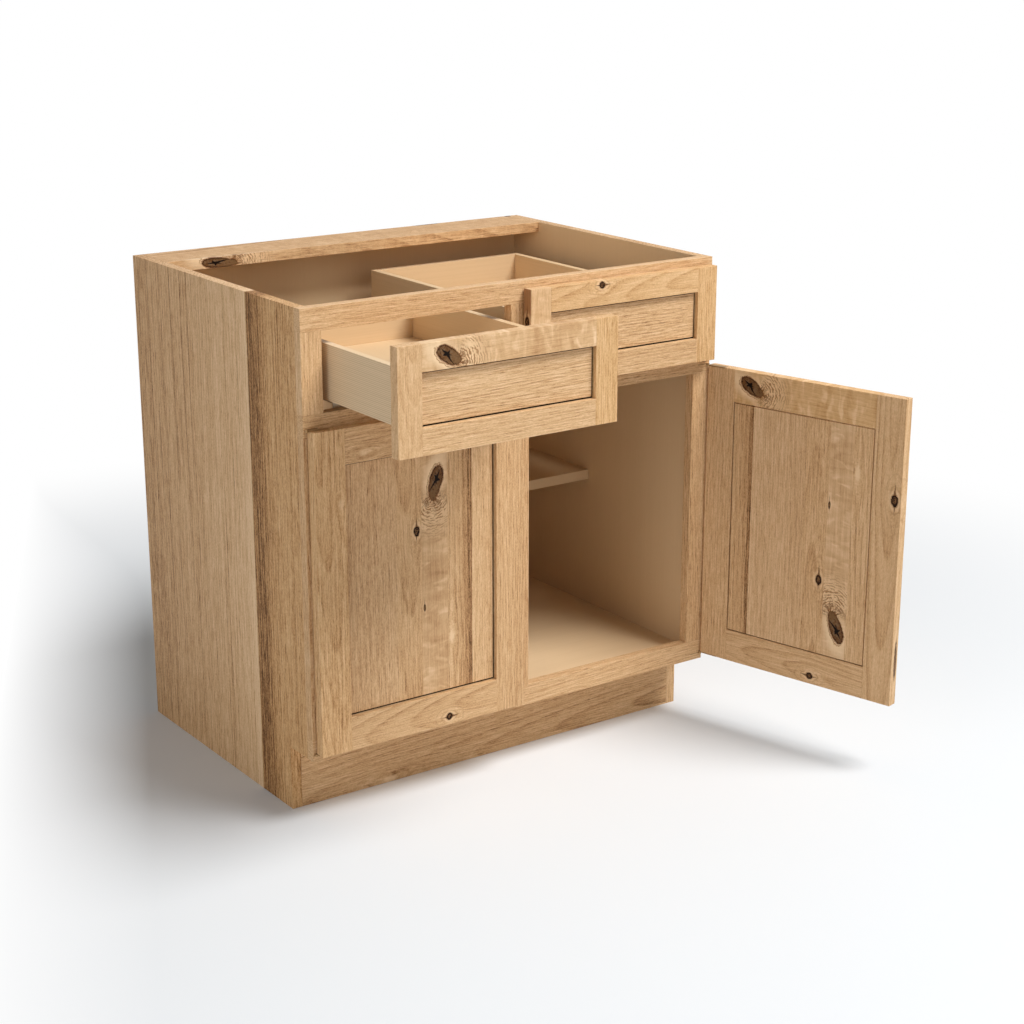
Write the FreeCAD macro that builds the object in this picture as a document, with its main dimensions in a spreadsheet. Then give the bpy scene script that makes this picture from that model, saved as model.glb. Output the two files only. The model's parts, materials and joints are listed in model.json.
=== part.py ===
import FreeCAD, Part
import os
import re

# A face-frame kitchen base cabinet with two drawers over two doors. The origin is on the floor, at
# the middle of the back. +X is to the right as seen from the front, +Y to the wall, +Z up.
# It stands with the left drawer pulled out and the right door open, and the other two closed.

doc = FreeCAD.newDocument("base_cabinet")
sheet = doc.addObject("Spreadsheet::Sheet", "Sizes")

# Driving dimensions, in millimetres and degrees
sizes = {
    # carcass
    "cabinet_width": 838.2,
    "cabinet_height": 876.3,
    "cabinet_depth": 603.25,
    "side_thickness": 19.05,
    "back_thickness": 19.05,
    "bottom_thickness": 19.05,
    "bottom_drop": 19.05,
    "toe_height": 114.3,
    "toe_recess": 76.2,
    "toe_board": 19.05,
    "stretcher_depth": 101.6,
    "stretcher_thickness": 19.05,
    "shelf_height": 391.1,
    "shelf_depth": 254.0,
    "shelf_thickness": 19.05,
    "shelf_clearance": 0.8,
    "shelf_pin_radius": 2.5,
    "shelf_pin_clearance": 0.05,
    "shelf_pin_hole": 9.5,
    "shelf_pin_reach": 9.0,
    "shelf_pin_setback": 50.0,
    # face frame
    "frame_thickness": 19.05,
    "stile_width": 38.1,
    "centre_stile_width": 38.1,
    "top_rail_width": 38.1,
    "mid_rail_width": 38.1,
    "bottom_rail_width": 38.1,
    "drawer_opening": 132.7,
    # doors and drawer fronts
    "front_thickness": 19.05,
    "front_standoff": 2.0,
    "side_reveal": 6.35,
    "middle_gap": 12.7,
    "top_reveal": 12.7,
    "bottom_reveal": 12.7,
    "front_spacing": 12.7,
    "spacing_rise": 0.9,
    "drawer_frame_width": 42.9,
    "door_stile_width": 57.15,
    "door_rail_width": 60.0,
    "panel_thickness": 10.8,
    "panel_setback": 0.4,
    "panel_gap": 2.0,
    "panel_step": 3.0,
    "panel_tongue": 5.0,
    "panel_groove": 9.5,
    "panel_float": 1.5,
    # drawer boxes
    "box_side_clearance": 12.7,
    "box_lift": 16.8,
    "box_headroom": 23.8,
    "box_rear_clearance": 52.8,
    "box_board": 12.7,
    "box_bottom": 6.35,
    "box_bottom_recess": 12.7,
    "box_groove": 6.35,
    "box_float": 0.5,
    # drawer slides
    "slide_width": 30.0,
    "slide_height": 22.0,
    "slide_gap": 3.0,
    "slide_metal": 1.5,
    "slide_web": 6.0,
    "slide_play": 0.5,
    "slide_inset": 3.0,
    "slide_setback": 3.0,
    "slide_foot": 15.0,
    # hinges
    "knuckle_radius": 2.4,
    "knuckle_clearance": 0.2,
    "hinge_reach": 1.4,
    "hinge_pin_radius": 1.1,
    "hinge_pin_clearance": 0.05,
    "leaf_thickness": 2.0,
    "leaf_gap": 0.3,
    "frame_leaf_length": 24.0,
    "frame_leaf_wall": 5.0,
    "door_leaf_margin": 21.0,
    "door_leaf_wall": 9.0,
    # how far the open ones stand open
    "drawer_pull": 253.0,
    "door_angle": 104.1,
}
for row, (alias, value) in enumerate(sizes.items(), start=1):
    sheet.set(f"A{row}", alias)
    sheet.set(f"B{row}", str(value))
    sheet.setAlias(f"B{row}", alias)
doc.recompute()

# Places across the cabinet, as distances out from its middle
half_width = "(cabinet_width / 2)"
side_inside = f"({half_width} - side_thickness)"
stile_inside = f"({half_width} - stile_width)"
centre_edge = "(centre_stile_width / 2)"
front_near = "(middle_gap / 2)"
front_far = f"({half_width} - side_reveal)"
box_near = f"({centre_edge} + box_side_clearance)"
box_far = f"({stile_inside} - box_side_clearance)"
box_near_inside = f"({box_near} + box_board)"
box_far_inside = f"({box_far} - box_board)"
pivot_out = f"({front_far} + hinge_reach)"
knuckle_near = f"({pivot_out} - knuckle_radius)"
knuckle_far = f"({pivot_out} + knuckle_radius)"

# Places from front to back
frame_front = "(-cabinet_depth)"
frame_back = "(frame_thickness - cabinet_depth)"
toe_front = f"({frame_front} + toe_recess)"
carcass_back = "(-back_thickness)"
shelf_front = f"({carcass_back} - shelf_depth)"
front_back = f"({frame_front} - front_standoff)"
front_face = f"({front_back} - front_thickness)"
panel_back = f"({front_back} - panel_setback)"
panel_front = f"({panel_back} - panel_thickness)"
tongue_back = f"({panel_back} - panel_step)"
tongue_front = f"({tongue_back} - panel_tongue)"
box_front_inside = f"({front_back} + box_board)"
box_end = f"({carcass_back} - box_rear_clearance)"
pivot_y = f"({frame_front} - knuckle_clearance - knuckle_radius)"
knuckle_front = f"({pivot_y} - knuckle_radius)"

# Heights
upper_top = "(cabinet_height - top_rail_width)"
mid_top = f"({upper_top} - drawer_opening)"
mid_bottom = f"({mid_top} - mid_rail_width)"
lower_bottom = "(toe_height + bottom_rail_width)"
bottom_top = f"({lower_bottom} - bottom_drop)"
bottom_under = f"({bottom_top} - bottom_thickness)"
stretcher_under = "(cabinet_height - stretcher_thickness)"
spacing_middle = f"(({mid_top} + {mid_bottom}) / 2 + spacing_rise)"
drawer_top = "(cabinet_height - top_reveal)"
drawer_low = f"({spacing_middle} + front_spacing / 2)"
door_top = f"({spacing_middle} - front_spacing / 2)"
door_low = "(toe_height + bottom_reveal)"
box_low = f"({mid_top} + box_lift)"
box_top = f"({upper_top} - box_headroom)"
box_bottom_under = f"({box_low} + box_bottom_recess)"
box_bottom_top = f"({box_bottom_under} + box_bottom)"
slide_low = f"({box_bottom_under} - slide_height)"
slide_lip = "((slide_height - slide_gap) / 2)"

sides = {-1: "left", 1: "right"}
corners = {}
pieces = []


def cells(text):
    """Point each size in an expression at its cell in the sheet."""
    return re.sub(r"[a-z][a-z_]+", lambda word: "Sizes." + word.group(), text)


def across(side, near, far):
    """The X span of what lies from near to far, out from the middle on one side."""
    if side > 0:
        return near, far
    return f"(-{far})", f"(-{near})"


def both_ways(half):
    """An X span as far to the left as to the right."""
    return f"(-{half})", half


def box(x, y, z):
    """A square block between two places along each axis."""
    block = doc.addObject("Part::Box", "Block")
    for length, axis, (low, high) in (("Length", "x", x), ("Width", "y", y), ("Height", "z", z)):
        block.setExpression(length, cells(f"{high} - {low}"))
        block.setExpression(f"Placement.Base.{axis}", cells(low))
    corners[block.Name] = (x[0], y[0], z[0])
    return block


def cylinder(start, length, radius):
    """A round bar that rises from its start."""
    bar = doc.addObject("Part::Cylinder", "Bar")
    bar.setExpression("Radius", cells(radius))
    bar.setExpression("Height", cells(length))
    for axis, place in zip("xyz", start):
        bar.setExpression(f"Placement.Base.{axis}", cells(place))
    return bar


def cross_pin(x, y, z, radius):
    """A round bar that lies along X."""
    low, high = x
    bar = cylinder((low, y, z), f"{high} - {low}", radius)
    bar.Placement.Rotation = FreeCAD.Rotation(FreeCAD.Vector(0, 1, 0), 90)
    return bar


def upright_pin(x, y, z, radius):
    """A round bar that stands along Z."""
    low, high = z
    return cylinder((x, y, low), f"{high} - {low}", radius)


def join(*shapes):
    """One solid from several that meet."""
    whole = doc.addObject("Part::MultiFuse", "Join")
    whole.Shapes = list(shapes)
    return whole


def cut(blank, *tools):
    """A blank with tools cut out of it."""
    rest = doc.addObject("Part::Cut", "Cut")
    rest.Base = blank
    rest.Tool = tools[0] if len(tools) == 1 else join(*tools)
    return rest


def group(*shapes):
    """Like pieces kept together as separate solids."""
    together = doc.addObject("Part::Compound", "Group")
    together.Links = list(shapes)
    return together


def stand_still(shape):
    """A piece that stays where it was drawn."""


def pull_out(share):
    """A piece that comes forward by a share of the drawer's pull."""

    def move(shape):
        start = corners.get(shape.Name, ("0", "0", "0"))[1]
        shape.setExpression("Placement.Base.y", cells(f"{start} - drawer_pull * {share}"))

    return move


def swing_open(shape):
    """A piece that turns about the hinge pins of the right door."""
    x, y, z = corners.get(shape.Name, ("0", "0", "0"))
    for axis in "xyz":
        shape.setExpression(f"Placement.Base.{axis}", None)
    start = cells(f"{x}; {y}; {z}")
    centre = cells(f"{pivot_out} - {x}; {pivot_y} - {y}; 0")
    turn = f"rotation(vector(0; 0; 1); {cells('door_angle')})"
    shape.setExpression("Placement", f"placement(vector({start}); {turn}; vector({centre}))")


def piece(label, shape, move=stand_still):
    """Name a finished piece and set it where it stands."""
    shape.Label = label
    move(shape)
    pieces.append(shape)


def carcass():
    """Sides with their toe notches, bottom, back, stretcher, toe kick, and a shelf on pins."""
    inside = both_ways(side_inside)
    pin_rows = (f"({shelf_front} + shelf_pin_setback)", f"({carcass_back} - shelf_pin_setback)")
    pin_height = "(shelf_height - shelf_pin_radius)"
    hole_radius = "(shelf_pin_radius + shelf_pin_clearance)"
    pin_start = f"({side_inside} - shelf_pin_reach)"
    hole_end = f"({side_inside} + shelf_pin_hole)"
    pins = []
    for side, name in sides.items():
        wall = across(side, side_inside, half_width)
        board = box(wall, (frame_back, "0"), ("0", "cabinet_height"))
        notch = box(wall, (frame_back, toe_front), ("0", "toe_height"))
        hole = across(side, side_inside, hole_end)
        holes = [cross_pin(hole, place, pin_height, hole_radius) for place in pin_rows]
        piece(f"{name}_side_panel", cut(board, notch, *holes))
        reach = across(side, pin_start, hole_end)
        pins += [cross_pin(reach, place, pin_height, "shelf_pin_radius") for place in pin_rows]
    piece("shelf_pins", group(*pins))
    shelf_span = both_ways(f"({side_inside} - shelf_clearance)")
    shelf_rise = ("shelf_height", "(shelf_height + shelf_thickness)")
    piece("half_shelf", box(shelf_span, (shelf_front, carcass_back), shelf_rise))
    piece("bottom_panel", box(inside, (frame_back, carcass_back), (bottom_under, bottom_top)))
    piece("back_panel", box(inside, (carcass_back, "0"), ("0", stretcher_under)))
    stretcher_deep = ("(-stretcher_depth)", "0")
    piece("back_stretcher", box(inside, stretcher_deep, (stretcher_under, "cabinet_height")))
    toe_deep = (toe_front, f"({toe_front} + toe_board)")
    piece("toe_kick", box(inside, toe_deep, ("0", bottom_under)))


# Heights of the hinge leaves: at the top of a door the frame leaf is above the door leaf, and at the
# bottom it is below. Each pin spans both.
top_hinge = {
    "frame": (f"({door_top} + leaf_gap)", f"({door_top} + leaf_gap + leaf_thickness)"),
    "door": (f"({door_top} - leaf_thickness)", door_top),
    "pin": (f"({door_top} - leaf_thickness)", f"({door_top} + leaf_gap + leaf_thickness)"),
}
bottom_hinge = {
    "frame": (f"({door_low} - leaf_gap - leaf_thickness)", f"({door_low} - leaf_gap)"),
    "door": (door_low, f"({door_low} + leaf_thickness)"),
    "pin": (f"({door_low} - leaf_gap - leaf_thickness)", f"({door_low} + leaf_thickness)"),
}


def frame_leaf_plate(side, hinge):
    """The part of a frame leaf that is let into a rail."""
    span = across(side, f"({knuckle_far} - frame_leaf_length)", knuckle_far)
    return box(span, (frame_front, f"({frame_back} - frame_leaf_wall)"), hinge["frame"])


def door_leaf_plate(side, hinge):
    """The part of a door leaf that is let into the end of the hinge stile."""
    span = across(side, f"({front_far} - door_stile_width + door_leaf_margin)", front_far)
    return box(span, (f"({front_face} + door_leaf_wall)", front_back), hinge["door"])


def face_frame():
    """Three full-width rails with short stiles between them."""
    wide = both_ways(half_width)
    deep = (frame_front, frame_back)
    piece("top_rail", box(wide, deep, (upper_top, "cabinet_height")))
    mid_slots = [frame_leaf_plate(side, top_hinge) for side in sides]
    piece("mid_rail", cut(box(wide, deep, (mid_bottom, mid_top)), *mid_slots))
    bottom_slots = [frame_leaf_plate(side, bottom_hinge) for side in sides]
    piece("bottom_rail", cut(box(wide, deep, ("toe_height", lower_bottom)), *bottom_slots))
    columns = {name: across(side, stile_inside, half_width) for side, name in sides.items()}
    columns["centre"] = both_ways(centre_edge)
    for name, span in columns.items():
        piece(f"{name}_upper_stile", box(span, deep, (mid_top, upper_top)))
        piece(f"{name}_lower_stile", box(span, deep, (lower_bottom, mid_bottom)))


def shaker_front(name, side, height, stile, rail, stile_names, move, leaf_plates=()):
    """Two full-height stiles, two rails tongued between them, and a flat panel tongued into all four.

    The panel's face and back stand a narrow shadow gap away from the frame round them.
    """
    low, high = height
    deep = (front_face, front_back)
    groove_deep = (tongue_front, tongue_back)
    near_edge = f"({front_near} + {stile})"
    far_edge = f"({front_far} - {stile})"
    near_groove = f"({near_edge} - panel_groove)"
    far_groove = f"({far_edge} + panel_groove)"
    near_name, far_name = stile_names
    near_stile = box(across(side, front_near, near_edge), deep, height)
    near_slot = box(across(side, near_groove, near_edge), groove_deep, height)
    piece(f"{name}_{near_name}", cut(near_stile, near_slot), move)
    far_stile = box(across(side, far_edge, front_far), deep, height)
    far_slot = box(across(side, far_edge, far_groove), groove_deep, height)
    piece(f"{name}_{far_name}", cut(far_stile, far_slot, *leaf_plates), move)
    top_edge = f"({high} - {rail})"
    bottom_edge = f"({low} + {rail})"
    top_groove = f"({top_edge} + panel_groove)"
    bottom_groove = f"({bottom_edge} - panel_groove)"
    rails = (
        ("top_rail", (top_edge, high), (top_edge, top_groove)),
        ("bottom_rail", (low, bottom_edge), (bottom_groove, bottom_edge)),
    )
    for rail_name, rise, groove_rise in rails:
        board = box(across(side, near_edge, far_edge), deep, rise)
        tongue = box(across(side, near_groove, far_groove), groove_deep, rise)
        slot = box(across(side, near_groove, far_groove), groove_deep, groove_rise)
        piece(f"{name}_{rail_name}", cut(join(board, tongue), slot), move)
    field_span = across(side, f"({near_edge} + panel_gap)", f"({far_edge} - panel_gap)")
    field_rise = (f"({bottom_edge} + panel_gap)", f"({top_edge} - panel_gap)")
    tongue_span = across(side, f"({near_groove} + panel_float)", f"({far_groove} - panel_float)")
    tongue_rise = (f"({bottom_groove} + panel_float)", f"({top_groove} - panel_float)")
    field = box(field_span, (panel_front, panel_back), field_rise)
    piece(f"{name}_panel", join(field, box(tongue_span, groove_deep, tongue_rise)), move)


def door(side, move):
    """A shaker door on a knife hinge at its top and one at its bottom."""
    name = sides[side]
    pivot_x = across(side, pivot_out, pivot_out)[0]
    hinges = (top_hinge, bottom_hinge)
    plates = [door_leaf_plate(side, hinge) for hinge in hinges]
    stile_names = ("free_stile", "hinge_stile")
    height = (door_low, door_top)
    sizes_of_frame = ("door_stile_width", "door_rail_width")
    shaker_front(f"{name}_door", side, height, *sizes_of_frame, stile_names, move, plates)
    frame_leaves = []
    door_leaves = []
    for hinge in hinges:
        frame_ear = box(across(side, knuckle_near, knuckle_far), (pivot_y, frame_front), hinge["frame"])
        frame_knuckle = upright_pin(pivot_x, pivot_y, hinge["frame"], "knuckle_radius")
        pin = upright_pin(pivot_x, pivot_y, hinge["pin"], "hinge_pin_radius")
        frame_leaves.append(join(frame_leaf_plate(side, hinge), frame_ear, frame_knuckle, pin))
        door_ear = box(across(side, front_far, pivot_out), (knuckle_front, front_back), hinge["door"])
        door_knuckle = upright_pin(pivot_x, pivot_y, hinge["door"], "knuckle_radius")
        bore = upright_pin(pivot_x, pivot_y, hinge["door"], "hinge_pin_radius + hinge_pin_clearance")
        door_leaves.append(cut(join(door_leaf_plate(side, hinge), door_ear, door_knuckle), bore))
    piece(f"{name}_hinge_frame_leaves", group(*frame_leaves))
    piece(f"{name}_hinge_door_leaves", group(*door_leaves), move)


def drawer_box(name, side, move):
    """Two sides, a front and a back, with a thin bottom in their grooves."""
    deep = (front_back, box_end)
    rise = (box_low, box_top)
    groove_rise = (box_bottom_under, box_bottom_top)
    near_groove = f"({box_near_inside} - box_groove)"
    far_groove = f"({box_far_inside} + box_groove)"
    near_board = box(across(side, box_near, box_near_inside), deep, rise)
    near_slot = box(across(side, near_groove, box_near_inside), deep, groove_rise)
    piece(f"{name}_{sides[-side]}_side", cut(near_board, near_slot), move)
    far_board = box(across(side, box_far_inside, box_far), deep, rise)
    far_slot = box(across(side, box_far_inside, far_groove), deep, groove_rise)
    piece(f"{name}_{sides[side]}_side", cut(far_board, far_slot), move)
    between = across(side, box_near_inside, box_far_inside)
    front_groove = f"({box_front_inside} - box_groove)"
    front_board = box(between, (front_back, box_front_inside), rise)
    front_slot = box(between, (front_groove, box_front_inside), groove_rise)
    piece(f"{name}_box_front", cut(front_board, front_slot), move)
    back_deep = (f"({box_end} - box_board)", box_end)
    piece(f"{name}_box_back", box(between, back_deep, (box_bottom_top, box_top)), move)
    bottom_span = across(side, f"({near_groove} + box_float)", f"({far_groove} - box_float)")
    bottom_deep = (f"({front_groove} + box_float)", box_end)
    piece(f"{name}_bottom", box(bottom_span, bottom_deep, groove_rise), move)


def drawer_slides(name, side, drawer_move, middle_move):
    """A channel on the carcass, a beam that runs in it, and a channel under the drawer on the beam."""
    near_start = f"({box_near_inside} + slide_inset)"
    far_end = f"({box_far_inside} - slide_inset)"
    spans = ((near_start, f"({near_start} + slide_width)"), (f"({far_end} - slide_width)", far_end))
    fixed_deep = (frame_back, carcass_back)
    foot_deep = (frame_back, f"({frame_back} + slide_metal)")
    beam_deep = (f"({frame_back} + slide_setback)", box_end)
    drawer_deep = (box_front_inside, box_end)
    fixed_floor = f"({slide_low} + slide_metal)"
    fixed_top = f"({slide_low} + {slide_lip})"
    beam_low = f"({fixed_floor} + slide_play)"
    drawer_roof = f"({box_bottom_under} - slide_metal)"
    drawer_low_edge = f"({box_bottom_under} - {slide_lip})"
    beam_top = f"({drawer_roof} - slide_play)"
    fixed_runners = []
    beams = []
    drawer_runners = []
    for near, far in spans:
        full = across(side, near, far)
        hollow = across(side, f"({near} + slide_metal)", f"({far} - slide_metal)")
        flange = across(side, f"({near} + slide_metal + slide_play)", f"({far} - slide_metal - slide_play)")
        web_near = f"(({near} + {far} - slide_web) / 2)"
        web = across(side, web_near, f"({web_near} + slide_web)")
        channel = cut(
            box(full, fixed_deep, (slide_low, fixed_top)),
            box(hollow, fixed_deep, (fixed_floor, fixed_top)),
        )
        foot = box(full, foot_deep, (f"({mid_top} - slide_foot)", fixed_floor))
        fixed_runners.append(join(channel, foot))
        beams.append(join(
            box(flange, beam_deep, (beam_low, f"({beam_low} + slide_metal)")),
            box(web, beam_deep, (beam_low, beam_top)),
            box(flange, beam_deep, (f"({beam_top} - slide_metal)", beam_top)),
        ))
        drawer_runners.append(cut(
            box(full, drawer_deep, (drawer_low_edge, box_bottom_under)),
            box(hollow, drawer_deep, (drawer_low_edge, drawer_roof)),
        ))
    piece(f"{name}_cabinet_runners", group(*fixed_runners))
    piece(f"{name}_middle_runners", group(*beams), middle_move)
    piece(f"{name}_drawer_runners", group(*drawer_runners), drawer_move)


def drawer(side, drawer_move, middle_move):
    """A shaker front on a box that runs on a pair of slides."""
    name = f"{sides[side]}_drawer"
    stile_names = (f"{sides[-side]}_stile", f"{sides[side]}_stile")
    height = (drawer_low, drawer_top)
    frame = "drawer_frame_width"
    shaker_front(f"{name}_front", side, height, frame, frame, stile_names, drawer_move)
    drawer_box(name, side, drawer_move)
    drawer_slides(name, side, drawer_move, middle_move)


carcass()
face_frame()
door(-1, stand_still)
door(1, swing_open)
drawer(-1, pull_out("1"), pull_out("0.5"))
drawer(1, stand_still, stand_still)
doc.recompute()

for item in doc.Objects:
    if "Invalid" in item.State or "Error" in item.State:
        raise RuntimeError(f"{item.Label} did not build")
for item in pieces:
    if item.Shape.isNull() or not item.Shape.isValid():
        raise RuntimeError(f"{item.Label} has no sound shape")

os.makedirs("parts", exist_ok=True)
for item in pieces:
    item.Shape.exportStep(f"parts/{item.Label}.step")
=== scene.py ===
import json
import math

import bmesh
import bpy
from mathutils import Matrix, Vector

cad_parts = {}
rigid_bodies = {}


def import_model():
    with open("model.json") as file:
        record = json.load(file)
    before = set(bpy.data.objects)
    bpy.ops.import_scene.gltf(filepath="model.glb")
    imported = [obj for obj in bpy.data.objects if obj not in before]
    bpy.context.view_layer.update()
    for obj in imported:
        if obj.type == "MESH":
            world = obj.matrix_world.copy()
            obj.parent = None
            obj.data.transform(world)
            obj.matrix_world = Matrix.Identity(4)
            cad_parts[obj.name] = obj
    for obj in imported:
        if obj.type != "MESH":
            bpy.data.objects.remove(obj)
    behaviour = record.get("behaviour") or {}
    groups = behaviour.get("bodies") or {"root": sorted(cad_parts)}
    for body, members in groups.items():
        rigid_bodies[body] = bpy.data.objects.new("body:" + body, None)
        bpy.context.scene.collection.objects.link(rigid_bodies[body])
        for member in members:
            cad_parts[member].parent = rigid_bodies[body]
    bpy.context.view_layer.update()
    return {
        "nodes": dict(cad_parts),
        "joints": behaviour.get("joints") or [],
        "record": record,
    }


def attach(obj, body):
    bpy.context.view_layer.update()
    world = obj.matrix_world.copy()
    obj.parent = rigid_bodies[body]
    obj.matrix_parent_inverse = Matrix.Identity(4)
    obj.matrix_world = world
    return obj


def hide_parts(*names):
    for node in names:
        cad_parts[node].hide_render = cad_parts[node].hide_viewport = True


for leftover in list(bpy.data.objects):  # the start-up cube, lamp and camera
    bpy.data.objects.remove(leftover)
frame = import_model()

mm = 0.001
fullTurn = 2 * math.pi
openHinge = next(joint for joint in frame["joints"] if joint["name"] == "right_door_hinge")
doorOpen = math.radians(-openHinge["range_deg"][0])


# node helpers

def feed(web, socket, value):  # a socket is linked, anything else is set as a plain value
    if isinstance(value, bpy.types.NodeSocket):
        web.links.new(value, socket)
    elif value is not None:
        socket.default_value = value


def feedAll(web, node, values):
    for socket, value in zip(node.inputs, values):
        feed(web, socket, value)


def sums(web, operation, *values, clamp=False):
    node = web.nodes.new("ShaderNodeMath")
    node.operation = operation
    node.use_clamp = clamp
    feedAll(web, node, values)
    return node.outputs[0]


def addUp(web, *values):
    total = values[0]
    for value in values[1:]:
        total = sums(web, "ADD", total, value)
    return total


def times(web, *values):
    product = values[0]
    for value in values[1:]:
        product = sums(web, "MULTIPLY", product, value)
    return product


def less(web, whole, part):
    return sums(web, "SUBTRACT", whole, part)


def over(web, top, bottom):
    return sums(web, "DIVIDE", top, bottom)


def most(web, first, second):
    return sums(web, "MAXIMUM", first, second)


def sizeOf(web, value):
    return sums(web, "ABSOLUTE", value)


def lengthOf(web, x, y):
    return sums(web, "SQRT", addUp(web, times(web, x, x), times(web, y, y)))


def vectors(web, operation, *values):
    node = web.nodes.new("ShaderNodeVectorMath")
    node.operation = operation
    feedAll(web, node, values)
    return node.outputs["Vector"]


def joinAxes(web, x, y, z):
    node = web.nodes.new("ShaderNodeCombineXYZ")
    feedAll(web, node, (x, y, z))
    return node.outputs[0]


def splitAxes(web, place):
    node = web.nodes.new("ShaderNodeSeparateXYZ")
    feed(web, node.inputs[0], place)
    return node.outputs


def noise(web, place, stretch, detail=2.0, roughness=0.5, twist=0.0):  # stretch: lumps per metre on each axis
    node = web.nodes.new("ShaderNodeTexNoise")
    feed(web, node.inputs["Vector"], vectors(web, "MULTIPLY", place, stretch))
    node.inputs["Scale"].default_value = 1.0
    node.inputs["Detail"].default_value = detail
    node.inputs["Roughness"].default_value = roughness
    node.inputs["Distortion"].default_value = twist
    return node.outputs["Fac"]


def lumps(web, place, stretch, detail=2.0, roughness=0.5, twist=0.0):  # noise about zero
    return less(web, noise(web, place, stretch, detail, roughness, twist), 0.5)


def roughLumps(web, place, fineness, detail=3):  # as fine on every axis
    return lumps(web, place, (fineness,) * 3, detail, 0.6)


def crispNoise(web, place, stretch, detail, step):  # noise less the noise a step aside leaves fine detail
    aside = vectors(web, "ADD", place, (0.0, step, step))
    return less(web, noise(web, place, stretch, detail, 0.6), noise(web, aside, stretch, detail, 0.6))


def spread(web, value, low, high, start=0.0, end=1.0, soft=False):
    node = web.nodes.new("ShaderNodeMapRange")
    node.interpolation_type = "SMOOTHSTEP" if soft else "LINEAR"
    node.clamp = True
    feedAll(web, node, (value, low, high, start, end))
    return node.outputs[0]


def blend(web, share, first, second, way="MIX"):
    node = web.nodes.new("ShaderNodeMix")
    node.data_type = "RGBA"
    node.blend_type = way
    feed(web, node.inputs[0], share)
    feed(web, node.inputs[6], first)
    feed(web, node.inputs[7], second)
    return node.outputs[2]


def colourSteps(web, value, stops, way="LINEAR"):
    node = web.nodes.new("ShaderNodeValToRGB")
    node.color_ramp.interpolation = way
    points = node.color_ramp.elements
    while len(points) < len(stops):
        points.new(0.5)
    for point, (place, colour) in zip(points, stops):
        point.position = place
        point.color = (*colour, 1.0)
    feed(web, node.inputs[0], value)
    return node.outputs[0]


def floats(**starts):  # number sockets; _ stands for a space
    return [(label.replace("_", " "), "Float", start) for label, start in starts.items()]


def startGroup(name, takes, gives):
    web = bpy.data.node_groups.new(name, "ShaderNodeTree")
    for label, kind, start in takes:
        socket = web.interface.new_socket(label, in_out="INPUT", socket_type="NodeSocket" + kind)
        if start is not None:
            socket.default_value = start
    for label, kind in gives:
        web.interface.new_socket(label, in_out="OUTPUT", socket_type="NodeSocket" + kind)
    inlet = web.nodes.new("NodeGroupInput").outputs
    outlet = web.nodes.new("NodeGroupOutput").inputs
    return web, inlet, outlet


def placeGroup(web, group, **values):
    node = web.nodes.new("ShaderNodeGroup")
    node.node_tree = group
    for label, value in values.items():
        feed(web, node.inputs[label.replace("_", " ")], value)
    return node.outputs


# knots

placeSocket = ("Place", "Vector", None)
colourSocket = ("Colour", "Color", None)
knotSockets = [placeSocket, *floats(Centre_X=0.0, Centre_Y=0.0, Length=0.01, Width=0.01, Low=-1.0, High=1.0)]
knotGives = [("Colour", "Color"), ("Dent", "Float")]


def knotPlace(web, inlet):  # a point seen from the knot's centre, and whether it is on the knot's strip
    x, y, _ = splitAxes(web, inlet["Place"])
    above = sums(web, "GREATER_THAN", y, inlet["Low"])
    below = sums(web, "LESS_THAN", y, inlet["High"])
    return less(web, x, inlet["Centre X"]), less(web, y, inlet["Centre Y"]), times(web, above, below)


def makeKnotFlow():  # how far the grain is pushed aside on its way round a knot
    web, inlet, outlet = startGroup("knotFlow", knotSockets + floats(Reach=1.0), [("Shift", "Float")])
    dx, dy, onBoard = knotPlace(web, inlet)
    along = over(web, dx, times(web, inlet["Length"], inlet["Reach"], 1.7))
    across = over(web, dy, times(web, inlet["Width"], inlet["Reach"]))
    away = most(web, addUp(web, times(web, along, along), times(web, across, across)), 1.0)
    push = over(web, times(web, dy, -0.6), away)
    feed(web, outlet["Shift"], times(web, push, onBoard))
    return web


burlLook = {
    # turn in degrees, then length and width in knot sizes
    "starArms": [(-42, 1.2, 0.24), (160, 0.6, 0.32), (85, 0.65, 0.26), (30, 0.45, 0.24), (-112, 0.5, 0.26)],
    "starBack": 0.22,  # how far the check sits from the middle, in knot lengths
    "rippleGaps": (5.8 * mm, 4.7 * mm),
    "paleWood": (0.88, 0.65, 0.405, 1),
    "rippleWood": (0.87, 0.62, 0.37, 1),
    "darkLine": (0.33, 0.155, 0.058, 1),
    "whisker": (0.16, 0.065, 0.023, 1),
    "redRim": (0.22, 0.072, 0.02, 1),
    "heart": (0.15, 0.064, 0.022, 1),
    "bluntHeart": (0.19, 0.098, 0.04, 1),
    "greyHeart": (0.225, 0.138, 0.074, 1),
    "darkHeart": (0.05, 0.018, 0.006, 1),
    "check": (0.006, 0.0025, 0.001, 1),
}


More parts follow.
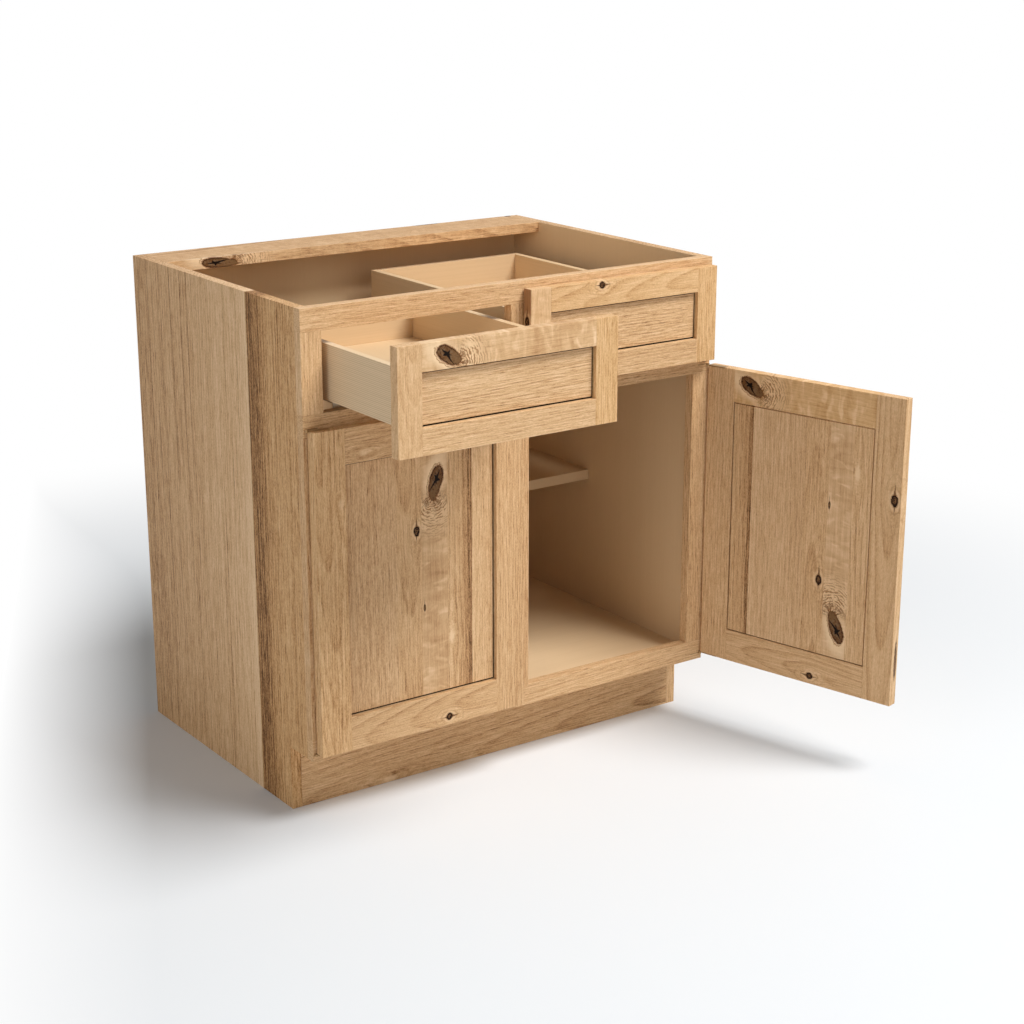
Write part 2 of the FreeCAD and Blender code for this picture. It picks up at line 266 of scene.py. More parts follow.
def burlRipples(web, inlet, endX, endY, wobble, onBoard, lit):  # rippled grain and whiskers off the blunt end
    def part(share):  # a share of the knot's length
        return times(web, inlet["Length"], share)

    place = inlet["Place"]
    away = lengthOf(web, endX, endY)
    bearing = sums(web, "ARCTAN2", endY, endX)
    swing = sizeOf(web, bearing)
    crooked = addUp(web, times(web, roughLumps(web, place, 55, 2), 16.0),
                    times(web, roughLumps(web, place, 170, 2), 3.5))
    wide, close = [times(web, away, fullTurn / gap) for gap in burlLook["rippleGaps"]]
    firstWave = sums(web, "SINE", addUp(web, wide, crooked))
    secondWave = sums(web, "SINE", less(web, close, crooked))
    swap = spread(web, noise(web, place, (75, 75, 75), 1), 0.46, 0.54)
    wave = addUp(web, firstWave, times(web, swap, less(web, secondWave, firstWave)))
    broken = spread(web, noise(web, place, (120, 120, 60), 2), 0.37, 0.52)
    zone = times(web, spread(web, away, part(0.35), part(0.7)),
                 spread(web, away, part(3.2), part(0.9), soft=True),
                 spread(web, swing, 1.6, 0.9), onBoard)
    lit = blend(web, times(web, zone, 0.65), lit, burlLook["rippleWood"])
    dark = times(web, zone, broken, spread(web, wave, -0.3, 0.6), 0.9)
    lit = blend(web, dark, lit, burlLook["darkLine"])
    fan = joinAxes(web, addUp(web, bearing, times(web, wobble, 1.2)), away, wobble)
    strokes = spread(web, noise(web, fan, (6.5, 42, 2.5), 2, 0.6, 0.7), 0.48, 0.55)
    whisker = times(web, strokes, spread(web, away, part(1.2), part(0.4)),
                    spread(web, swing, 2.0, 1.3), onBoard)
    return blend(web, times(web, whisker, 0.9), lit, burlLook["whisker"])


def burlBark(web, gap, along, across, wobble, onBoard, lit):  # a thin line of bark outside a red rim
    outside = sizeOf(web, addUp(web, gap, -3.6 * mm, times(web, wobble, 5 * mm)))
    line = spread(web, outside, 1.4 * mm, 0.4 * mm)
    line = times(web, line, spread(web, across, 0.3, -0.15), spread(web, along, 1.05, 0.6), onBoard, 0.75)
    lit = blend(web, line, lit, burlLook["darkLine"])
    red = spread(web, sizeOf(web, addUp(web, gap, 0.3 * mm)), 2.8 * mm, 1.1 * mm)
    return blend(web, times(web, red, onBoard, 0.85), lit, burlLook["redRim"])


def burlHeart(web, place, along, across, fromStar, fine):  # red-brown, greyer round the check
    blunt = spread(web, addUp(web, along, times(web, fine, 0.9)), -0.3, 0.5)
    core = blend(web, blunt, burlLook["heart"], burlLook["bluntHeart"])
    near = spread(web, lengthOf(web, fromStar, across), 0.95, 0.35)
    grey = times(web, near, spread(web, roughLumps(web, place, 170), -0.06, 0.1))
    core = blend(web, grey, core, burlLook["greyHeart"])
    flecks = spread(web, roughLumps(web, place, 260), 0.02, 0.18, 0.0, 0.7)
    return blend(web, flecks, core, burlLook["darkHeart"])


def starCheck(web, fromStar, across, wobble, black):  # tapered cracks out of one point
    for turn, armLength, armWidth in burlLook["starArms"]:
        cosArm, sinArm = math.cos(math.radians(turn)), math.sin(math.radians(turn))
        out = addUp(web, times(web, fromStar, cosArm), times(web, across, sinArm))
        off = addUp(web, times(web, across, cosArm), times(web, fromStar, -sinArm), times(web, wobble, 0.35))
        wide = most(web, times(web, less(web, 1.0, over(web, out, armLength)), armWidth), 0.001)
        arm = spread(web, sizeOf(web, off), wide, times(web, wide, 0.4))
        black = most(web, black, times(web, arm, sums(web, "GREATER_THAN", out, -0.05)))
    return black


def makeBurl():  # large knot with a bark rim, a star-shaped check and ripples
    takes = knotSockets + [colourSocket] + floats(Turn=0.0, Side=1.0, Blunt=1.0)
    web, inlet, outlet = startGroup("burl", takes, knotGives)
    dx, dy, onBoard = knotPlace(web, inlet)
    place, length, width, blunt = [inlet[label] for label in ("Place", "Length", "Width", "Blunt")]
    cosTurn = sums(web, "COSINE", inlet["Turn"])
    sinTurn = sums(web, "SINE", inlet["Turn"])
    turnedX = times(web, addUp(web, times(web, dx, cosTurn), times(web, dy, sinTurn)), blunt)
    turnedY = times(web, less(web, times(web, dy, cosTurn), times(web, dx, sinTurn)), inlet["Side"])
    along = over(web, turnedX, length)  # in knot lengths
    across = over(web, turnedY, times(web, width, spread(web, along, -1.0, 1.0, 1.1, 0.84)))  # egg-shaped
    wobble = roughLumps(web, place, 95)
    fine = roughLumps(web, place, 420, 2)
    reach = lengthOf(web, along, across)
    torn = spread(web, along, 0.1, 1.0, 0.36, 0.95)  # the blunt end is ragged
    fromHeart = addUp(web, reach, times(web, wobble, torn), times(web, fine, 0.16))
    slope = lengthOf(web, over(web, along, length), over(web, across, width))
    slope = over(web, slope, most(web, reach, 0.05))
    gap = over(web, less(web, fromHeart, 1.0), slope)  # metres outside the bark
    pale = times(web, spread(web, fromHeart, 2.5, 1.2, soft=True), spread(web, along, 1.1, 0.3),
                 spread(web, across, 1.3, -0.5, 0.4, 1.0), onBoard, 0.9)
    lit = blend(web, pale, inlet["Colour"], burlLook["paleWood"])
    tip = times(web, length, 0.72)
    endX = less(web, times(web, dx, blunt), times(web, tip, cosTurn))
    endY = less(web, dy, times(web, tip, sinTurn, blunt))
    lit = burlRipples(web, inlet, endX, endY, wobble, onBoard, lit)
    lit = burlBark(web, gap, along, across, wobble, onBoard, lit)
    fromStar = addUp(web, along, burlLook["starBack"])
    heart = times(web, spread(web, gap, 0.3 * mm, -0.5 * mm), onBoard)
    lit = blend(web, heart, lit, burlHeart(web, place, along, across, fromStar, fine))
    inward = sizeOf(web, addUp(web, gap, 0.8 * mm, times(web, fine, 3 * mm)))
    rim = spread(web, inward, 1.3 * mm, 0.3 * mm)
    black = starCheck(web, fromStar, across, wobble, times(web, rim, spread(web, along, 1.0, -0.3, 0.3, 0.8)))
    black = times(web, black, onBoard, spread(web, fromHeart, 1.25, 1.1))
    feed(web, outlet["Colour"], blend(web, black, lit, burlLook["check"]))
    feed(web, outlet["Dent"], black)
    return web


pinLook = {
    "swirlLine": (0.37, 0.19, 0.078, 1),
    "halo": (0.85, 0.6, 0.355, 1),
    "paleEye": (0.87, 0.63, 0.385, 1),
    "tail": (0.13, 0.05, 0.016, 1),
    "rust": (0.26, 0.11, 0.038, 1),
    "core": (0.014, 0.005, 0.002, 1),
    "fleck": (0.25, 0.12, 0.05, 1),
}


def pinTail(web, inlet, along, dy, wobble, onBoard):  # a dark point at each end of the knot
    left = sums(web, "SUBTRACT", 1.0, sizeOf(web, over(web, less(web, along, 0.35), 3.3)), clamp=True)
    wide = most(web, times(web, inlet["Width"], 0.95, left, left), 0.02 * mm)
    off = sizeOf(web, addUp(web, dy, times(web, wobble, 4 * mm)))
    return times(web, spread(web, off, wide, times(web, wide, 0.35)), onBoard, inlet["Tail"])


def makePinKnot():  # small knot, or a pale eye with no knot, in a swirl of grain
    takes = knotSockets + [colourSocket] + floats(Dark=1.0, Pale=0.0, Tail=0.0, Swirl=0.0)
    web, inlet, outlet = startGroup("pinKnot", takes, knotGives)
    dx, dy, onBoard = knotPlace(web, inlet)
    place, dark = inlet["Place"], inlet["Dark"]
    along = over(web, dx, inlet["Length"])
    across = over(web, dy, inlet["Width"])
    wobble = roughLumps(web, place, 80)
    fine = roughLumps(web, place, 420, 2)
    ragged = addUp(web, times(web, roughLumps(web, place, 150), 0.75), times(web, fine, 0.3))
    fromHeart = addUp(web, lengthOf(web, along, across), ragged)
    eye = addUp(web, lengthOf(web, times(web, along, 0.62), across), times(web, wobble, 1.3))
    lines = spread(web, sums(web, "SINE", times(web, eye, 5.0)), 0.6, 0.97)
    zone = times(web, spread(web, eye, 4.6, 1.5), spread(web, eye, 0.9, 1.3), onBoard, inlet["Swirl"])
    lit = blend(web, times(web, zone, lines, 0.42), inlet["Colour"], pinLook["swirlLine"])
    halo = times(web, spread(web, fromHeart, 2.3, 1.2, soft=True), onBoard, dark, 0.6)
    lit = blend(web, halo, lit, pinLook["halo"])
    spot = times(web, spread(web, fromHeart, 1.35, 0.35, soft=True), onBoard, inlet["Pale"])
    lit = blend(web, spot, lit, pinLook["paleEye"])
    tail = pinTail(web, inlet, along, dy, wobble, onBoard)
    lit = blend(web, times(web, tail, 0.9), lit, pinLook["tail"])
    rust = times(web, spread(web, fromHeart, 1.35, 1.0), onBoard, dark, 0.75)
    lit = blend(web, rust, lit, pinLook["rust"])
    black = times(web, spread(web, fromHeart, 1.06, 0.92), onBoard, dark)
    flecks = times(web, spread(web, fine, -0.08, 0.1), spread(web, fromHeart, 0.8, 0.4))
    core = blend(web, flecks, pinLook["core"], pinLook["fleck"])
    feed(web, outlet["Colour"], blend(web, black, lit, core))
    feed(web, outlet["Dent"], most(web, black, times(web, tail, 0.6)))
    return web


# grain

def seedJump(web, seed, steps):  # moves each board to its own part of the noise
    return joinAxes(web, *[times(web, seed, step) for step in steps])


hickoryTones = [(0.0, (0.82, 0.572, 0.345)), (0.3, (0.68, 0.44, 0.233)), (0.55, (0.54, 0.313, 0.149)),
                (0.8, (0.3, 0.154, 0.069)), (1.0, (0.1, 0.047, 0.021))]
usualLineGap = 5 * mm


def growthRings(web, inlet, x, swayed, z, place):  # round a pith that runs nearly along the board
    ringY = less(web, swayed, addUp(web, inlet["Pith Y"], times(web, inlet["Lean"], x)))
    ringZ = less(web, z, addUp(web, inlet["Pith Z"], times(web, inlet["Tilt"], x)))
    count = over(web, lengthOf(web, ringY, ringZ), inlet["Ring Gap"])
    turns = sums(web, "FRACT", addUp(web, count, times(web, inlet["Seed"], 7.3)))
    late = times(web, sums(web, "POWER", turns, 2.6), spread(web, turns, 1.0, 0.93))
    patchy = spread(web, noise(web, place, (2.2, 26, 26), 1), 0.3, 0.65, 0.35, 1.25)
    return times(web, less(web, late, 0.22), inlet["Rings"], patchy)


def fineLines(web, inlet, across, place, thread):  # two sets of long lines that take over from each other
    turned = times(web, lumps(web, place, (4.0, 60, 60)), 30.0)
    wide = over(web, times(web, across, fullTurn), inlet["Line Gap"])
    first = sums(web, "SINE", addUp(web, wide, turned))
    second = sums(web, "SINE", less(web, times(web, wide, 0.73), times(web, turned, 0.8)))
    broken = noise(web, thread, (42, 220, 220))
    return addUp(web, times(web, first, spread(web, broken, 0.36, 0.6)),
                 times(web, second, spread(web, broken, 0.62, 0.4)))


def curlPatches(web, inlet, patch):  # soft patches of light and shade that lie across the grain
    flame = lumps(web, patch, (42, 13, 13), 2, 0.5, 1.3)
    elsewhere = vectors(web, "ADD", patch, (3.1, 1.7, 0.4))
    glow = spread(web, noise(web, elsewhere, (70, 24, 24), 1, 0.5, 0.8), 0.56, 0.74)
    return times(web, less(web, times(web, flame, 0.9), times(web, glow, 0.42)), inlet["Curl"])


def makeHickoryGrain():
    takes = [placeSocket, *floats(Shift=0.0, Seed=0.0, Tone=0.0, Saturation=1.0, Curl=0.0, Streaks=0.2)]
    takes += floats(Rings=0.2, Ring_Gap=0.007, Pith_Y=0.05, Pith_Z=-0.03, Lean=0.1, Tilt=0.0)
    takes += floats(Lines=0.1, Line_Gap=usualLineGap, Dashes=0.4)
    gives = [("Colour", "Color"), ("Height", "Float"), ("Tone", "Float")]
    web, inlet, outlet = startGroup("hickoryGrain", takes, gives)
    x, y, z = splitAxes(web, inlet["Place"])
    jump = seedJump(web, inlet["Seed"], (3.17, 1.71, 0.93))
    pushed = addUp(web, y, inlet["Shift"])
    bent = vectors(web, "ADD", joinAxes(web, x, pushed, z), jump)
    wander = addUp(web, times(web, lumps(web, bent, (1.6, 9, 9), 1), 16 * mm),
                   times(web, lumps(web, bent, (5, 40, 40), 1), 1.4 * mm))
    swayed = addUp(web, pushed, wander)
    place = vectors(web, "ADD", bent, joinAxes(web, 0.0, wander, 0.0))
    rings = growthRings(web, inlet, x, swayed, z, place)
    broad = times(web, lumps(web, place, (1.1, 30, 30)), 0.18)
    # threads, pores and fine lines are all scaled by the gap between the lines
    finer = over(web, usualLineGap, inlet["Line Gap"])
    thread = vectors(web, "MULTIPLY", place, joinAxes(web, 1.0, finer, finer))
    fibre = crispNoise(web, thread, (6.0, 560, 560), 2, 1.8 * mm)
    dash = crispNoise(web, thread, (36, 540, 540), 1, 1.9 * mm)
    hair = lumps(web, thread, (280, 820, 820), 2, 0.6)
    pores = spread(web, noise(web, thread, (60, 640, 640), 1), 0.57, 0.7)
    streak = spread(web, noise(web, thread, (1.5, 330, 330), 2, 0.6), 0.56, 0.7)
    lines = fineLines(web, inlet, addUp(web, swayed, times(web, z, 0.83)), place, thread)
    curl = curlPatches(web, inlet, vectors(web, "ADD", inlet["Place"], jump))
    openness = spread(web, inlet["Curl"], 0.1, 0.5, 1.0, 0.45)  # curly boards show few pores
    pored = addUp(web, times(web, dash, inlet["Dashes"]), times(web, hair, 0.75),
                  times(web, pores, 0.16), times(web, lines, inlet["Lines"]))
    tone = addUp(web, 0.35, inlet["Tone"], broad, rings, times(web, fibre, 0.2),
                 times(web, pored, openness), times(web, streak, inlet["Streaks"]), curl)
    tint = web.nodes.new("ShaderNodeHueSaturation")
    feed(web, tint.inputs["Saturation"], inlet["Saturation"])
    feed(web, tint.inputs["Color"], colourSteps(web, tone, hickoryTones))
    feed(web, outlet["Colour"], tint.outputs[0])
    feed(web, outlet["Height"], addUp(web, times(web, fibre, 0.6), times(web, dash, -0.6), hair,
                                      times(web, pores, -0.9)))
    feed(web, outlet["Tone"], tone)
    return web


ribGap = 3 * mm


def makePlainGrain():  # finer, paler board: drawer boxes and the cupboard's lining
    takes = [placeSocket, ("Pale", "Color", None), ("Deep", "Color", None)]
    takes += floats(Seed=0.0, Lines=0.2, Ribs=0.0)
    web, inlet, outlet = startGroup("plainGrain", takes, [("Colour", "Color"), ("Height", "Float")])
    place = vectors(web, "ADD", inlet["Place"], seedJump(web, inlet["Seed"], (2.7, 1.3, 0.7)))
    broad = lumps(web, place, (0.9, 14, 14))
    lines = lumps(web, place, (2.5, 270, 270), 2, 0.55)
    hair = lumps(web, place, (20, 1300, 1300), 2, 0.6)
    fleck = spread(web, noise(web, place, (60, 900, 900), 1), 0.66, 0.78)
    across = times(web, splitAxes(web, inlet["Place"])[1], fullTurn / ribGap)
    sawn = sums(web, "SINE", addUp(web, across, times(web, lines, 4.0)))  # even ribs along the board
    ribs = times(web, sawn, inlet["Ribs"])
    tone = addUp(web, 0.45, times(web, broad, 0.6), times(web, lines, inlet["Lines"]),
                 times(web, hair, 0.3), times(web, fleck, 0.18), ribs)
    share = sums(web, "MINIMUM", most(web, tone, 0.0), 1.0)
    feed(web, outlet["Colour"], blend(web, share, inlet["Pale"], inlet["Deep"]))
    feed(web, outlet["Height"], addUp(web, lines, hair, times(web, fleck, -0.6), ribs))
    return web


def makeBrushedMetal():
    takes = [placeSocket, colourSocket, *floats(Roughness=0.35)]
    gives = [("Colour", "Color"), ("Roughness", "Float"), ("Height", "Float")]
    web, inlet, outlet = startGroup("brushedMetal", takes, gives)
    brush = noise(web, inlet["Place"], (2400, 30, 2400), 2, 0.6)
    cloud = noise(web, inlet["Place"], (60, 60, 60), 3, 0.6)
    shade = addUp(web, times(web, brush, 0.3), times(web, cloud, 0.35), 0.68)
    grey = joinAxes(web, shade, shade, shade)
    feed(web, outlet["Colour"], blend(web, 1.0, inlet["Colour"], grey, "MULTIPLY"))
    feed(web, outlet["Roughness"], addUp(web, inlet["Roughness"], times(web, cloud, 0.16),
                                         times(web, brush, 0.08)))
    feed(web, outlet["Height"], addUp(web, brush, times(web, cloud, 0.5)))
    return web


knotFlow = makeKnotFlow()
burl = makeBurl()
pinKnot = makePinKnot()
hickoryGrain = makeHickoryGrain()
plainGrain = makePlainGrain()
brushedMetal = makeBrushedMetal()
print("shared effects made")


# finishes

satin = {"specular": 0.09, "bump": 0.35, "bumpDepth": 0.4 * mm}
smooth = {"bump": 0.25, "bumpDepth": 0.3 * mm}
brushed = {"bump": 0.15, "bumpDepth": 0.1 * mm}
birch = {"pale": (0.79, 0.58, 0.352), "deep": (0.63, 0.438, 0.25)}
lining = {"pale": (0.82, 0.6, 0.365), "deep": (0.71, 0.505, 0.295)}
# near black, painted as shade into the gap round a panel's field
paintedGapShade = (0.016, 0.007, 0.003, 1)
lineGap = {"rail": 4.4, "flat": 4.6, "stile": 5.2, "leftWall": 7.4, "rightWall": 7.4}
# gap: between growth rings; pith: where their middle lies; lean and tilt: how it runs off along the board
usualBoard = {"tone": 0.0, "saturation": 1.0, "curl": 0.0, "streaks": 0.07, "lines": 0.1, "dashes": 0.4,
              "rings": 0.2, "gap": 7.0, "pith": (60, -30), "lean": 0.08, "tilt": 0.0, "knots": []}
usualStrip = {"curl": 0.05, "saturation": 1.0}
# between: the edges of the strip it is in; skin: how deep it goes; reach: how far the grain bends round it
usualKnot = {"between": (-900, 900), "skin": 100, "reach": 1.4, "turn": 0, "side": 1, "blunt": 1,
             "dark": 1.0, "pale": 0.0, "tail": 0.0, "swirl": 0.0}
seam = 0.0008  # half the width of a glue line, as a share of the panel's


def blankWeb(owner):
    owner.use_nodes = True
    owner.node_tree.nodes.clear()
    return owner.node_tree


def newFinish(name):
    finish = bpy.data.materials.new(name)
    web = blankWeb(finish)
    shader = web.nodes.new("ShaderNodeBsdfPrincipled")
    end = web.nodes.new("ShaderNodeOutputMaterial")
    web.links.new(shader.outputs[0], end.inputs[0])
    return finish, web, shader.inputs


def roughen(web, sockets, height, coat):
    bump = web.nodes.new("ShaderNodeBump")
    bump.inputs["Strength"].default_value = coat["bump"]
    bump.inputs["Distance"].default_value = coat["bumpDepth"]
    feed(web, bump.inputs["Height"], height)
    feed(web, sockets["Normal"], bump.outputs[0])


def ownPlace(web):
    return web.nodes.new("ShaderNodeTexCoord").outputs["Object"]


def knotSettings(knot, place):
    low, high = knot["between"]
    return {"Place": place, "Centre_X": knot["at"][0] * mm, "Centre_Y": knot["at"][1] * mm,
            "Length": knot["size"][0] * mm, "Width": knot["size"][1] * mm, "Low": low * mm, "High": high * mm}


def drawKnot(web, knot, place, colour):
    settings = {**knotSettings(knot, place), "Colour": colour}
    if "burl" in knot:
        return placeGroup(web, burl, Turn=math.radians(knot["turn"]), Side=knot["side"], Blunt=knot["blunt"],
                          **settings)
    return placeGroup(web, pinKnot, Dark=knot["dark"], Pale=knot["pale"], Tail=knot["tail"],
                      Swirl=knot["swirl"], **settings)


def grainShift(web, knots, place):  # the grain parts round each knot in the face
    shift = 0.0
    for knot in knots:
        if "edge" not in knot:
            flow = placeGroup(web, knotFlow, Reach=knot["reach"], **knotSettings(knot, place))
            shift = addUp(web, shift, flow["Shift"])
    return shift


def gluedStrips(web, board, y, halfWidth):  # boards glued edge to edge, each with its own tone and figure
    def shareOf(edge):
        return min(max((edge * mm / halfWidth + 1) / 2, 0.0), 1.0)

    tones, figures = [], []
    for given in board["strips"]:
        strip = {**usualStrip, **given}
        strength = strip["saturation"] / 2  # halved, because a colour step holds at most 1
        for low, high, toneLow, toneHigh in strip["stretches"]:
            tones.append((shareOf(low) + seam, (toneLow + 0.5, strength, 0)))
            tones.append((shareOf(high) - seam, (toneHigh + 0.5, strength, 0)))
        start = strip["stretches"][0][0]
        figures.append((shareOf(start), (strip["curl"], strip["seed"], strip["rings"])))
    across = spread(web, y, -halfWidth, halfWidth)
    tone, strength, _ = splitAxes(web, colourSteps(web, across, tones))
    curl, seed, rings = splitAxes(web, colourSteps(web, across, figures, "CONSTANT"))
    return {"Tone": less(web, tone, 0.5), "Saturation": times(web, strength, 2.0), "Curl": curl,
            "Rings": rings, "Seed": addUp(web, times(web, seed, 9.0), board["seed"])}


def edgeShare(web, y, edge, depth):  # 1 within depth of one long edge of a board
    return spread(web, y, edge - math.copysign(depth, edge), edge - math.copysign(depth * 0.5, edge))


def markKnots(web, knots, place, half, colour):  # in the face, or in one long edge
    x, y, z = splitAxes(web, place)
    dent = 0.0
    for knot in knots:
        if "edge" in knot:
            mark = drawKnot(web, knot, joinAxes(web, x, z, y), colour)
            share = edgeShare(web, y, knot["edge"] * half[1], 9 * mm)
        else:
            mark = drawKnot(web, knot, place, colour)
            skin = half[2] - knot["skin"] * mm
            share = spread(web, z, skin, skin + 1 * mm)
        colour = blend(web, share, colour, mark["Colour"])
        dent = addUp(web, dent, times(web, mark["Dent"], share))
    return colour, dent


def lineInside(web, board, place, half, colour):  # the inner face has the lining's look
    pale, deep = board["lined"]["pale"], board["lined"]["deep"]
    inside = placeGroup(web, plainGrain, Place=place, Seed=board["seed"], Lines=0.3,
                        Pale=(*pale, 1), Deep=(*deep, 1))
    share = spread(web, splitAxes(web, place)[2], -half[2] + 0.6 * mm, -half[2] + 0.2 * mm)
    return blend(web, share, colour, inside["Colour"])


def paintGapShade(web, board, place, half, colour):  # painted shade: the tongue down the gap round the field, and the outer edge of the field's face, are painted near black where the gap is in shade; less dark on the back face
    x, y, z = splitAxes(web, place)
    low = -half[2] * 0.2
    start = spread(web, z, low, 0.0, 1.1 * mm, -1 * mm)
    rims = []
    for along, reach in ((x, half[0]), (y, half[1])):
        field = reach - board["tongue"] * mm
        rims.append(spread(web, less(web, sizeOf(web, along), start), field - 0.3 * mm, field + 0.3 * mm))
    share = times(web, most(web, *rims), spread(web, z, low, 0.0, 0.65, 1.0))
    return blend(web, share, colour, paintedGapShade)


def hickory(name, given, half):
    finish, web, sockets = newFinish(name)
    place = ownPlace(web)
    y = splitAxes(web, place)[1]
    board = {**usualBoard, **given}
    knots = [{**usualKnot, **knot} for knot in board["knots"]]
    pithY, pithZ = board["pith"]
    if "strips" in board:
        figure = gluedStrips(web, board, y, half[1])
    else:
        figure = {label: board[label.lower()] for label in ("Tone", "Saturation", "Curl", "Rings", "Seed")}
    grain = placeGroup(web, hickoryGrain, Place=place, Shift=grainShift(web, knots, place),
                       Ring_Gap=board["gap"] * mm, Pith_Y=pithY * mm, Pith_Z=pithZ * mm, Lean=board["lean"],
                       Tilt=board["tilt"], Streaks=board["streaks"], Lines=board["lines"],
                       Dashes=board["dashes"], Line_Gap=lineGap[board["run"]] * mm, **figure)
    colour = grain["Colour"]
    if "edgeTone" in board:  # bark-side edge: redder and darker
        at, redder = board["edgeTone"]
        share = times(web, edgeShare(web, y, at * mm, 2.2 * mm), 0.85)
        colour = blend(web, share, colour, (*redder, 1))
    colour, dent = markKnots(web, knots, place, half, colour)
    if "lined" in board:
        colour = lineInside(web, board, place, half, colour)
    # painted shade in the gap round a panel's field
    if "tongue" in board:
        colour = paintGapShade(web, board, place, half, colour)
    feed(web, sockets["Base Color"], colour)
    feed(web, sockets["Roughness"], spread(web, grain["Tone"], 0.1, 0.9, 0.42, 0.6))
    sockets["Specular IOR Level"].default_value = satin["specular"]
    height = less(web, grain["Height"], times(web, dent, 1.6)) if knots else grain["Height"]
    roughen(web, sockets, height, satin)
    return finish


def plainBoard(name, board):
    finish, web, sockets = newFinish(name)
    look = {**board["wood"], **board}
    grain = placeGroup(web, plainGrain, Place=ownPlace(web), Seed=board["seed"], Lines=board["lines"],
                       Ribs=board.get("ribs", 0.0), Pale=(*look["pale"], 1), Deep=(*look["deep"], 1))
    feed(web, sockets["Base Color"], grain["Colour"])
    feed(web, sockets["Roughness"], spread(web, grain["Height"], -0.6, 0.6, 0.4, 0.55))
    sockets["Specular IOR Level"].default_value = satin["specular"]
    roughen(web, sockets, grain["Height"], smooth)
    return finish


def metal(name, colour, roughness):
    finish, web, sockets = newFinish(name)
    steel = placeGroup(web, brushedMetal, Place=ownPlace(web), Colour=(*colour, 1), Roughness=roughness)
    feed(web, sockets["Base Color"], steel["Colour"])
    feed(web, sockets["Roughness"], steel["Roughness"])
    sockets["Metallic"].default_value = 1.0
    roughen(web, sockets, steel["Height"], brushed)
    return finish


# boards

def axesOf(grain, face):  # board space: X along the grain, Z out of the good face
    along, out = Vector(grain), Vector(face)
    return Matrix((along, out.cross(along), out)).transposed()


runs = {
    "rail": axesOf((1, 0, 0), (0, -1, 0)),
    "stile": axesOf((0, 0, 1), (0, -1, 0)),
    "leftWall": axesOf((0, 0, 1), (-1, 0, 0)),
    "rightWall": axesOf((0, 0, 1), (1, 0, 0)),
    "flat": axesOf((1, 0, 0), (0, 0, 1)),
    "side": axesOf((0, 1, 0), (-1, 0, 0)),
    "bottom": axesOf((0, 1, 0), (0, 0, 1)),
}
cutting = {"weld": 0.002 * mm, "flat": math.radians(0.5), "ease": 0.6 * mm, "shortest": 4 * mm,
           "sharp": math.radians(60), "endDepth": 12 * mm}


def sharpEdges(wood, reach, butted):  # outer edges; an end that is glued against the next board stays sharp
    def atEnd(face):
        inset = abs(abs(face.calc_center_median().x) - reach)
        return abs(face.normal.x) > 0.9 and inset < cutting["endDepth"]

    eased = []
    for edge in wood.edges:
        if not edge.is_manifold or edge.calc_length() < cutting["shortest"]:
            continue
        if edge.calc_face_angle_signed() < cutting["sharp"]:
            continue
        if not (butted and any(atEnd(face) for face in edge.link_faces)):
            eased.append(edge)
    return eased


def addObject(name, data):
    thing = bpy.data.objects.new(name, data)
    bpy.context.scene.collection.objects.link(thing)
    return thing


def cutBoard(node, run, butted, turned):  # the CAD solid in board space, its sharp edges eased
    axes = Matrix.Rotation(turned, 3, "Z") @ runs[run]
    toBoard = axes.transposed()
    solid = frame["nodes"][node].data
    corners = [toBoard @ corner.co for corner in solid.vertices]
    low = Vector([min(axis) for axis in zip(*corners)])
    high = Vector([max(axis) for axis in zip(*corners)])
    middle = (low + high) / 2
    half = (high - low) / 2
    wood = bmesh.new()
    wood.from_mesh(solid)
    bmesh.ops.transform(wood, matrix=Matrix.Translation(-middle) @ toBoard.to_4x4(), verts=wood.verts)
    bmesh.ops.remove_doubles(wood, verts=wood.verts, dist=cutting["weld"])
    bmesh.ops.dissolve_limit(wood, angle_limit=cutting["flat"], verts=wood.verts, edges=wood.edges)
    bmesh.ops.recalc_face_normals(wood, faces=wood.faces)
    bmesh.ops.bevel(wood, geom=sharpEdges(wood, half[0], butted), offset=cutting["ease"],
                    offset_type="OFFSET", segments=2, profile=0.5, affect="EDGES", clamp_overlap=True)
    mesh = bpy.data.meshes.new(node + "_board")
    wood.to_mesh(mesh)
    wood.free()
    piece = addObject(node + "_board", mesh)
    piece.matrix_world = axes.to_4x4() @ Matrix.Translation(middle)
    return piece, half


slotOf = {row["node"]: row["material_slot"] for row in frame["record"]["subparts"]}


def layBoards(body, boards, butted, turned=0.0):  # butted: the kind glued in between others
    for node, given in boards.items():
        kind = node.split("_")[-1]
        board = {"run": kind, **given}  # stiles, rails, and a drawer's sides and bottom run as named
        piece, half = cutBoard(node, board["run"], kind == butted, turned)
        if "wood" in board:
            finish = plainBoard(node + "_finish", board)
        else:
            finish = hickory(node + "_finish", board, half)
        piece.data.materials.append(finish)
        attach(piece, body)
        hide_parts(node)
    print(body, "boards laid:", len(boards))


# Places and sizes are in millimetres from the middle of the board: along the grain, then across it.
# A higher tone is darker. A strip's stretches give two edges and the tone at each of them.

